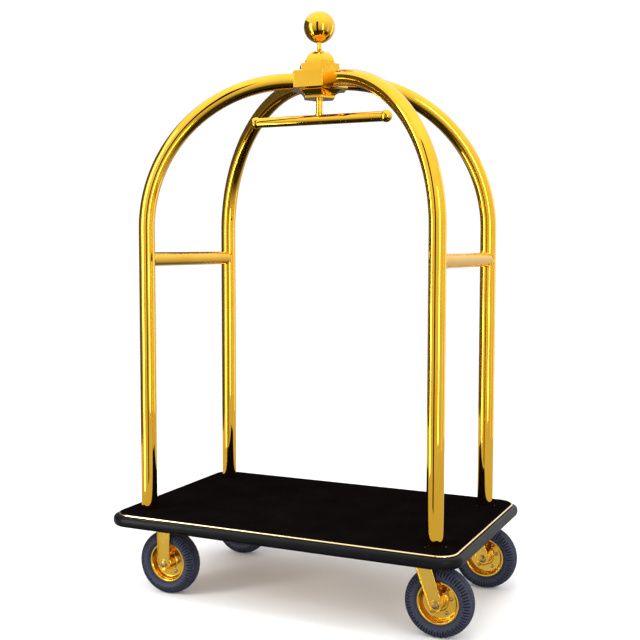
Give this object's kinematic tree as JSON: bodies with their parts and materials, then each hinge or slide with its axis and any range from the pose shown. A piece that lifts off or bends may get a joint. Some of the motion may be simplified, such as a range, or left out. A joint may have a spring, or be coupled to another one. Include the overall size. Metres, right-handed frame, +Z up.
{
  "type": "hotel luggage cart",
  "caption": "Birdcage luggage cart: carpeted deck with bumper on two fixed and two swivel wheels, bent tube posts meeting in a crown with ball finial and hanging rail.",
  "frame": {"origin": "on the floor under the middle of the cart's outline, wheels included", "axes": "+X along the cart towards the swivel wheels, +Y across it, +Z up to the ball finial"},
  "size_m": [1.185, 0.74, 1.8704],
  "materials": {
    "polished_gold": "mirror-polished titanium gold",
    "caster_gold": "polished plated pressings",
    "trim_brass": "bright extruded bead",
    "carpet": "short black pile",
    "bumper_rubber": "satin moulded rubber",
    "tyre_rubber": "dark grey tyre rubber with moulded tread",
    "plywood": "plain plywood",
    "frame_steel": "black powder coat",
    "zinc_steel": "bright plated fasteners"
  },
  "bodies": {
    "cart": {"deck_board": "plywood", "carpet": "carpet", "edge_trim": "trim_brass", "bumper": "bumper_rubber", "edge_rail": "frame_steel", "frame_long_rails": "frame_steel", "frame_end_rails": "frame_steel", "frame_cross_rails": "frame_steel", "corner_pads": "frame_steel", "post_front_left": "polished_gold", "post_front_right": "polished_gold", "post_back_left": "polished_gold", "post_back_right": "polished_gold", "crossbar_left": "polished_gold", "crossbar_right": "polished_gold", "crown_hub": "polished_gold", "crown_cap": "polished_gold", "finial": "polished_gold", "hanger_stem": "polished_gold", "hanger_rail": "polished_gold", "rail_end_balls": "polished_gold", "post_plugs": "zinc_steel", "post_nuts": "zinc_steel", "tie_rod": "zinc_steel", "rail_insert": "zinc_steel", "caster_bolts": "zinc_steel", "kingpins": "zinc_steel", "deck_screws": "zinc_steel", "rigid_fork_front": "caster_gold", "swivel_plate_front": "caster_gold", "rigid_fork_back": "caster_gold", "swivel_plate_back": "caster_gold", "axle_front_left": "zinc_steel", "axle_back_left": "zinc_steel"},
    "swivel_front": {"swivel_fork_front": "caster_gold", "swivel_balls_front": "zinc_steel", "axle_front_right": "zinc_steel"},
    "swivel_back": {"swivel_fork_back": "caster_gold", "swivel_balls_back": "zinc_steel", "axle_back_right": "zinc_steel"},
    "wheel_front_left": {"tyre_front_left": "tyre_rubber", "rim_outer_front_left": "caster_gold", "rim_inner_front_left": "caster_gold", "hub_front_left": "zinc_steel", "rim_bolts_front_left": "zinc_steel"},
    "wheel_front_right": {"tyre_front_right": "tyre_rubber", "rim_outer_front_right": "caster_gold", "rim_inner_front_right": "caster_gold", "hub_front_right": "zinc_steel", "rim_bolts_front_right": "zinc_steel"},
    "wheel_back_left": {"tyre_back_left": "tyre_rubber", "rim_outer_back_left": "caster_gold", "rim_inner_back_left": "caster_gold", "hub_back_left": "zinc_steel", "rim_bolts_back_left": "zinc_steel"},
    "wheel_back_right": {"tyre_back_right": "tyre_rubber", "rim_outer_back_right": "caster_gold", "rim_inner_back_right": "caster_gold", "hub_back_right": "zinc_steel", "rim_bolts_back_right": "zinc_steel"}
  },
  "joints": [
    {"name": "swivel_front_turn", "type": "hinge", "parent": "cart", "child": "swivel_front", "pos_m": [0.4475, -0.243, 0.2267], "axis": [0, 0, 1], "continuous": true},
    {"name": "swivel_back_turn", "type": "hinge", "parent": "cart", "child": "swivel_back", "pos_m": [0.4475, 0.243, 0.2267], "axis": [0, 0, 1], "continuous": true},
    {"name": "wheel_front_left_roll", "type": "hinge", "parent": "cart", "child": "wheel_front_left", "pos_m": [-0.4275, -0.243, 0.103], "axis": [0, 1, 0], "continuous": true},
    {"name": "wheel_front_right_roll", "type": "hinge", "parent": "swivel_front", "child": "wheel_front_right", "pos_m": [0.4895, -0.243, 0.103], "axis": [0, 1, 0], "continuous": true},
    {"name": "wheel_back_left_roll", "type": "hinge", "parent": "cart", "child": "wheel_back_left", "pos_m": [-0.4275, 0.243, 0.103], "axis": [0, 1, 0], "continuous": true},
    {"name": "wheel_back_right_roll", "type": "hinge", "parent": "swivel_back", "child": "wheel_back_right", "pos_m": [0.4895, 0.243, 0.103], "axis": [0, 1, 0], "continuous": true}
  ]
}
